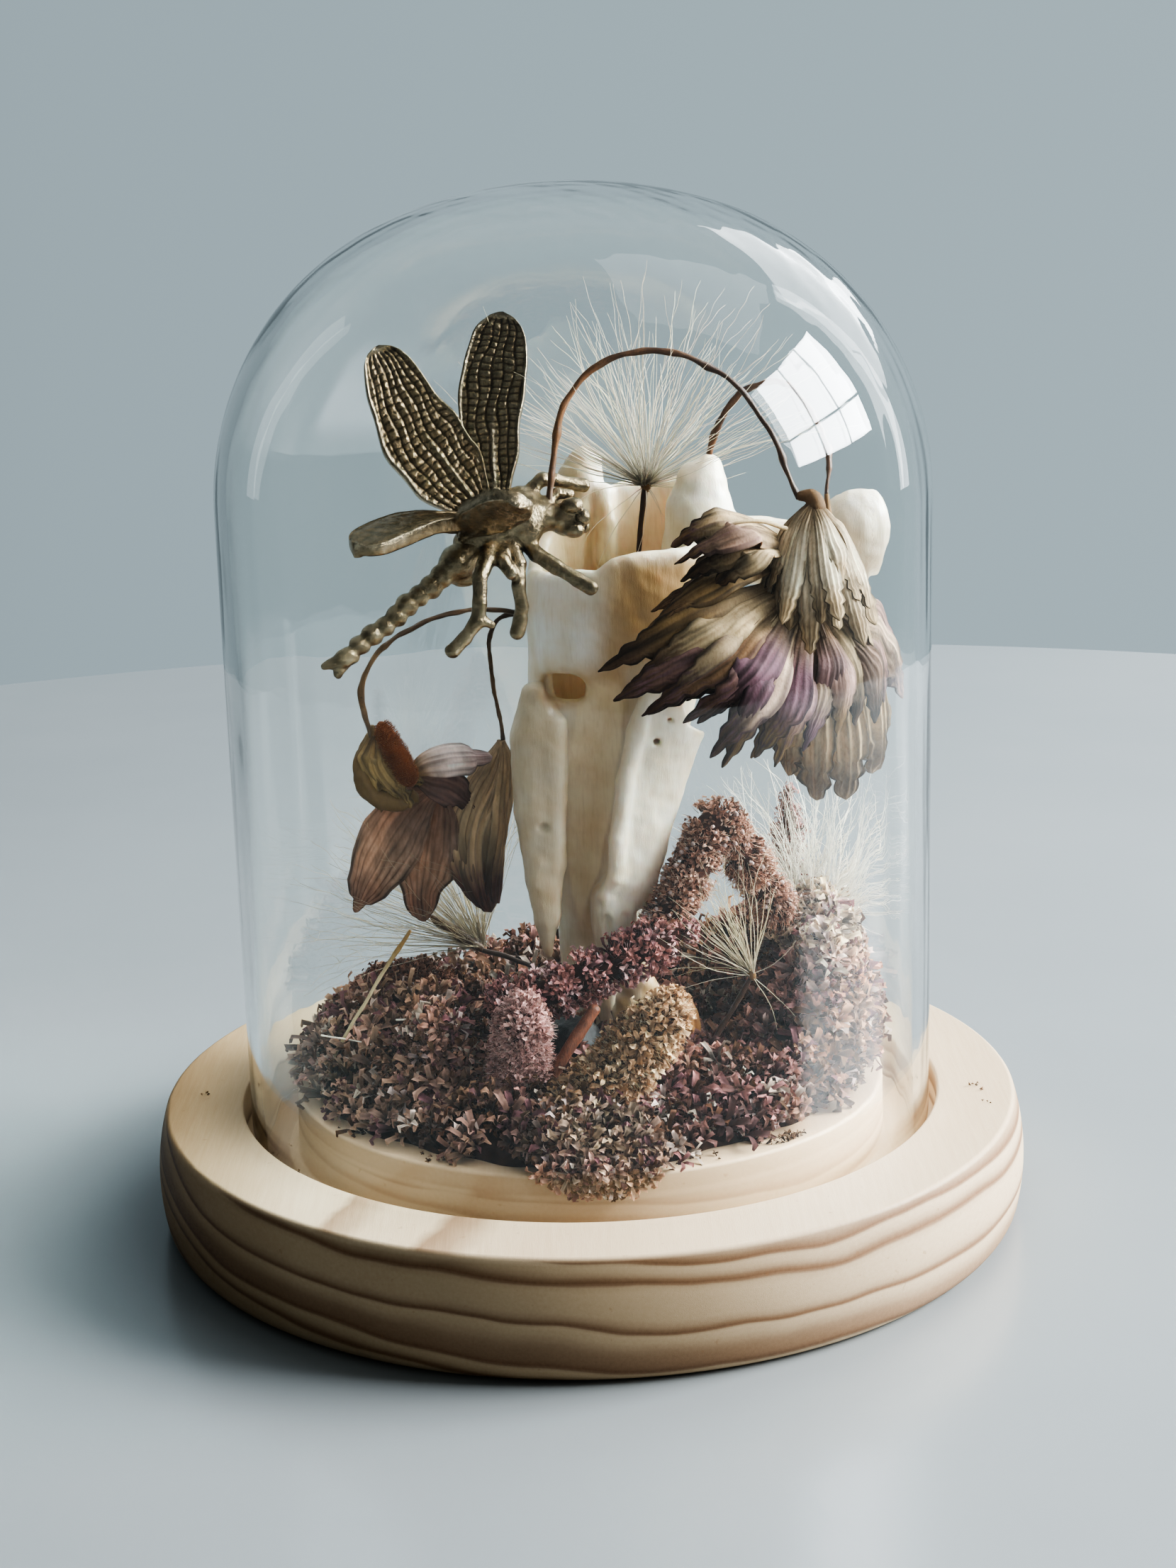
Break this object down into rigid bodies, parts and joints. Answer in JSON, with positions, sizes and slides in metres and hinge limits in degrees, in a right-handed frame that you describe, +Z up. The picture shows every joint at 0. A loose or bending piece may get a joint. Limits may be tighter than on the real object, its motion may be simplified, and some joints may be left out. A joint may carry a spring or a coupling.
{
  "type": "bell jar dome",
  "caption": "Small glass bell jar that lifts off a grooved turned pine base, over a fixed keepsake arrangement of bone, a cast dragonfly and dried flowers.",
  "frame": {"origin": "centre of the wooden base's underside", "axes": "+Z up along the dome's axis, the viewer stands on the -Y side, +X to the viewer's right"},
  "size_m": [0.125, 0.125, 0.1445],
  "materials": {
    "pine": "turned and sanded pale pine, unvarnished, growth lines showing on the side",
    "clear_glass": "clear blown glass, polished, faint grey-green in its edges",
    "mauve_florets": "heap of tiny dried florets, matt",
    "cream_florets": "tiny dried florets, cream, matt",
    "old_bone": "cleaned bone, ivory, satin, slightly translucent",
    "antique_gold_casting": "antiqued pale gold casting, worn bright on high spots",
    "brown_stem": "dried flower stem, brown, satin",
    "dried_bract": "dried papery bracts, beige with plum veins and dark tips",
    "dried_calyx": "dried olive-beige calyx, papery",
    "velvet_bud": "rust-brown velvety bud",
    "dried_petal": "dried petals, beige with mauve stripes, papery",
    "brown_petal": "thin brown dried petal, half translucent",
    "seed_silk": "fine silky seed hairs, cream white",
    "dark_seed": "dark dry seed",
    "mauve_spike": "fluffy dried flower spike, mauve brown",
    "tan_spike": "fluffy dried flower spike, tan",
    "twig": "red-brown woody stem",
    "black_stone": "smooth black pebble",
    "moss_stone": "dark pebble with moss specks",
    "amber_leaf": "small amber-brown dry leaf",
    "straw": "thin straw stalk"
  },
  "bodies": {
    "base": {"wood_base": "pine", "floret_bed": "mauve_florets", "floret_clump_right": "cream_florets", "floret_clump_left": "mauve_florets", "floret_clump_front": "cream_florets", "bone": "old_bone", "bone_fragment": "old_bone", "dragonfly": "antique_gold_casting", "stem_arch_front": "brown_stem", "stem_arch_back": "brown_stem", "astrantia_front": "dried_bract", "astrantia_back": "dried_bract", "stem_left_outer": "brown_stem", "stem_left_inner": "brown_stem", "calyx_left": "dried_calyx", "bud_left": "velvet_bud", "petal_left_small": "dried_petal", "petals_left_striped": "dried_petal", "petal_left_brown": "brown_petal", "seed_stalk_top": "brown_stem", "pappus_top": "seed_silk", "seed_left": "dark_seed", "pappus_left": "seed_silk", "seed_stalk_right": "brown_stem", "pappus_right": "seed_silk", "plume_right": "seed_silk", "spike_low_front": "mauve_spike", "spike_arch": "mauve_spike", "spike_back": "mauve_spike", "spike_pink": "mauve_spike", "spike_tan": "tan_spike", "spike_dark": "mauve_spike", "woody_stem": "twig", "pebble_black": "black_stone", "pebble_moss": "moss_stone", "amber_leaf": "amber_leaf", "straw_stalk": "straw"},
    "dome": {"glass_dome": "clear_glass"}
  },
  "joints": [
    {"name": "dome_lift", "type": "slide", "parent": "base", "child": "dome", "axis": [0, 0, 1], "range_m": [0, 0.13]}
  ]
}
